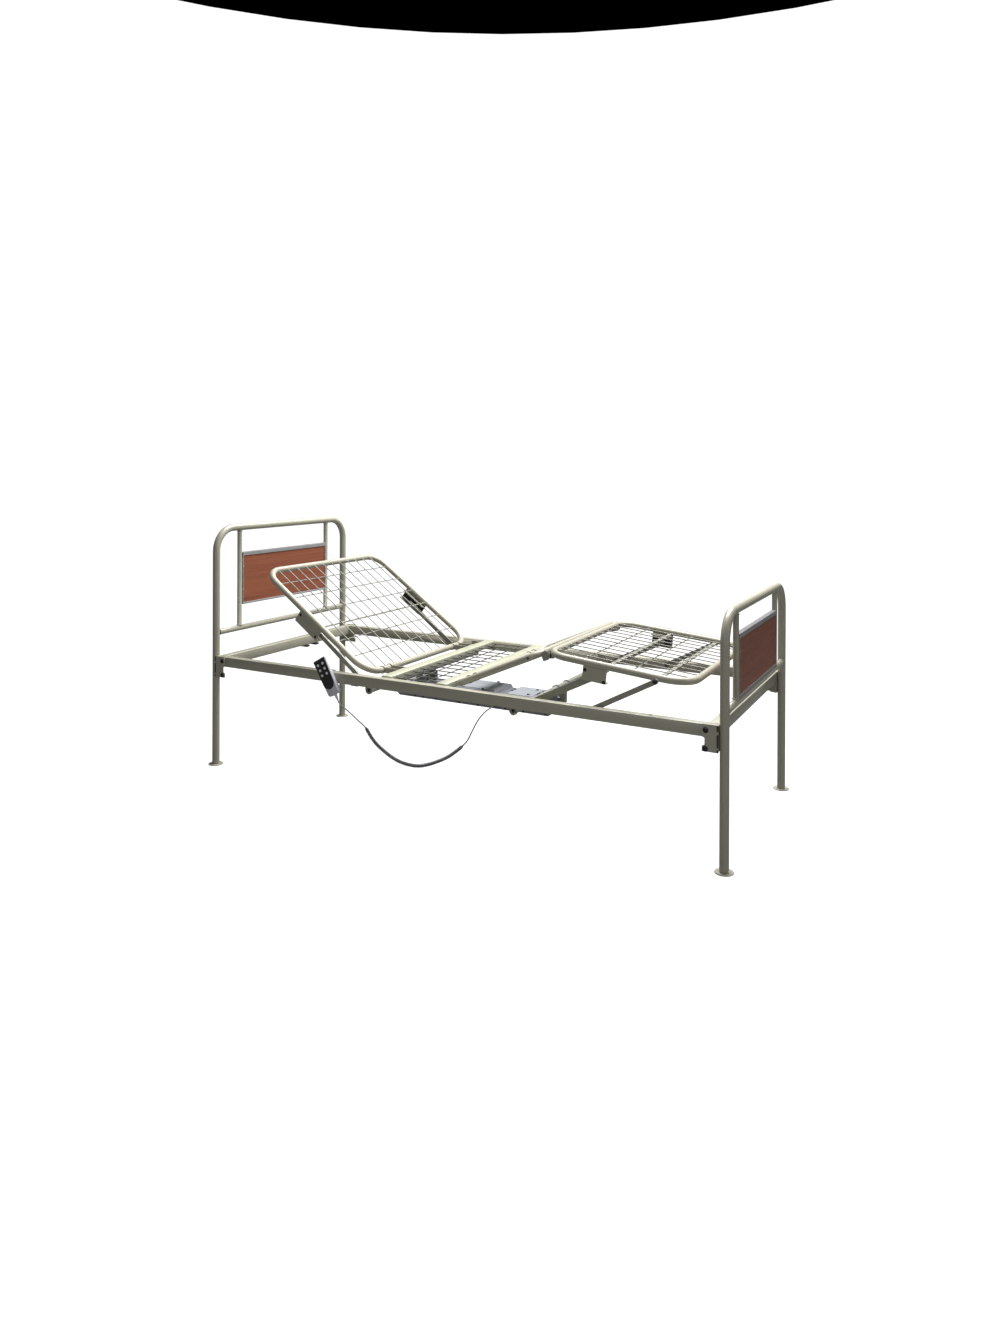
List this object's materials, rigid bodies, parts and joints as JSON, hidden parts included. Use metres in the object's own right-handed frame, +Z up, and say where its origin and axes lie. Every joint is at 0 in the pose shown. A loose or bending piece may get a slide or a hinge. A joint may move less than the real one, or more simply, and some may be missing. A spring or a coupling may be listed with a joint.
{
  "type": "adjustable hospital bed",
  "caption": "Hospital bed frame with tube end frames, wire mesh platform with raising back and knee sections, an under-bed twin drive and a corded handset.",
  "frame": {"origin": "on the floor, under the middle of the bed between the four posts", "axes": "+X towards the foot end, +Y towards the patient's left side, +Z up"},
  "size_m": [2.201, 0.9181, 1],
  "materials": {
    "cream_paint": "cream powder coat, satin",
    "bar_paint": "pale yellow-green cream powder coat",
    "wire_paint": "cream powder-coated wire",
    "steel": "grey-cream coated flat steel",
    "wood": "reddish-brown laminate with a horizontal grain",
    "trim": "grey edge trim, satin",
    "drive_plastic": "blue-grey moulded plastic",
    "black_plastic": "black, fine texture",
    "handset_plastic": "light grey, slightly glossy",
    "button_plastic": "white, satin",
    "cord_plastic": "grey soft jacket"
  },
  "bodies": {
    "base": {"back_hinge_left": "cream_paint", "back_hinge_right": "cream_paint", "cord_curly_part": "cord_plastic", "cord_drive_lead": "cord_plastic", "cord_gland": "black_plastic", "cord_handset_lead": "cord_plastic", "drive_housing": "drive_plastic", "foot_beam": "cream_paint", "foot_bracket_left": "cream_paint", "foot_bracket_right": "cream_paint", "foot_foot_left": "cream_paint", "foot_foot_right": "cream_paint", "foot_hoop": "cream_paint", "foot_inner_frame": "cream_paint", "foot_panel": "wood", "foot_panel_trim": "trim", "handset_case": "handset_plastic", "handset_keypad": "black_plastic", "head_beam": "cream_paint", "head_bracket_left": "cream_paint", "head_bracket_right": "cream_paint", "head_foot_left": "cream_paint", "head_foot_right": "cream_paint", "head_hoop": "cream_paint", "head_inner_frame": "cream_paint", "head_panel": "wood", "head_panel_trim": "trim", "seat_bar_foot": "bar_paint", "seat_bar_head": "bar_paint", "seat_mesh": "wire_paint", "side_rail_left": "cream_paint", "side_rail_right": "cream_paint", "thigh_hinge_left": "cream_paint", "thigh_hinge_right": "cream_paint"},
    "back": {"back_frame": "cream_paint", "back_mesh": "wire_paint", "back_guide_right": "cream_paint", "back_guide_left": "cream_paint"},
    "back_lift": {"back_lift_shaft": "steel", "back_roller_right": "black_plastic", "back_roller_left": "black_plastic"},
    "thigh": {"thigh_frame": "cream_paint", "thigh_mesh": "wire_paint"},
    "calf": {"calf_frame": "cream_paint", "calf_mesh": "wire_paint", "calf_guide_right": "cream_paint", "calf_guide_left": "cream_paint"},
    "leg_lift": {"leg_lift_shaft": "steel", "leg_roller_right": "black_plastic", "leg_roller_left": "black_plastic"},
    "stays": {"calf_stay_right": "steel", "calf_stay_left": "steel"},
    "slider_head": {"drive_slider_head": "black_plastic"},
    "slider_foot": {"drive_slider_foot": "black_plastic"},
    "button_back_up": {"button_back_up": "button_plastic"},
    "button_back_down": {"button_back_down": "button_plastic"},
    "button_leg_up": {"button_leg_up": "button_plastic"},
    "button_leg_down": {"button_leg_down": "button_plastic"},
    "button_both_up": {"button_both_up": "button_plastic"},
    "button_both_down": {"button_both_down": "button_plastic"}
  },
  "joints": [
    {"name": "back_hinge", "type": "hinge", "parent": "base", "child": "back", "pos_m": [-0.3193, 0, 0.45], "axis": [0, 1, 0], "range_deg": [-35, 35]},
    {"name": "back_lift_turn", "type": "hinge", "parent": "base", "child": "back_lift", "pos_m": [-0.295, 0, 0.398], "axis": [0, 1, 0], "range_deg": [-31, 31]},
    {"name": "slider_head_travel", "type": "slide", "parent": "base", "child": "slider_head", "axis": [1, 0, 0], "range_m": [-0.039, 0.039]},
    {"name": "thigh_hinge", "type": "hinge", "parent": "base", "child": "thigh", "pos_m": [0.07, 0, 0.4545], "axis": [0, -1, 0], "range_deg": [-23.4, 11.6]},
    {"name": "knee_hinge", "type": "hinge", "parent": "thigh", "child": "calf", "pos_m": [0.4184, 0, 0.5835], "axis": [0, -1, 0], "range_deg": [-14.5, 29]},
    {"name": "leg_lift_turn", "type": "hinge", "parent": "base", "child": "leg_lift", "pos_m": [0.325, 0, 0.4], "axis": [0, -1, 0], "range_deg": [-24.2, 12]},
    {"name": "slider_foot_travel", "type": "slide", "parent": "base", "child": "slider_foot", "axis": [1, 0, 0], "range_m": [-0.0291, 0.0145]},
    {"name": "stay_turn", "type": "hinge", "parent": "base", "child": "stays", "pos_m": [0.619, 0, 0.4415], "axis": [0, -1, 0], "range_deg": [-32, 16]},
    {"name": "button_back_up_press", "type": "slide", "parent": "base", "child": "button_back_up", "axis": [0, 1, 0], "range_m": [0, 0.001], "stiffness_N_per_m": 400},
    {"name": "button_back_down_press", "type": "slide", "parent": "base", "child": "button_back_down", "axis": [0, 1, 0], "range_m": [0, 0.001], "stiffness_N_per_m": 400},
    {"name": "button_leg_up_press", "type": "slide", "parent": "base", "child": "button_leg_up", "axis": [0, 1, 0], "range_m": [0, 0.001], "stiffness_N_per_m": 400},
    {"name": "button_leg_down_press", "type": "slide", "parent": "base", "child": "button_leg_down", "axis": [0, 1, 0], "range_m": [0, 0.001], "stiffness_N_per_m": 400},
    {"name": "button_both_up_press", "type": "slide", "parent": "base", "child": "button_both_up", "axis": [0, 1, 0], "range_m": [0, 0.001], "stiffness_N_per_m": 400},
    {"name": "button_both_down_press", "type": "slide", "parent": "base", "child": "button_both_down", "axis": [0, 1, 0], "range_m": [0, 0.001], "stiffness_N_per_m": 400}
  ],
  "couplings": [
    {"joint": "back_lift_turn", "follows": "back_hinge", "ratio": 0.883},
    {"joint": "slider_head_travel", "follows": "back_hinge", "m_per_rad": -0.0631},
    {"joint": "knee_hinge", "follows": "thigh_hinge", "ratio": -1.235},
    {"joint": "leg_lift_turn", "follows": "thigh_hinge", "ratio": 1.03},
    {"joint": "slider_foot_travel", "follows": "thigh_hinge", "m_per_rad": 0.0709},
    {"joint": "stay_turn", "follows": "thigh_hinge", "ratio": 1.15}
  ]
}
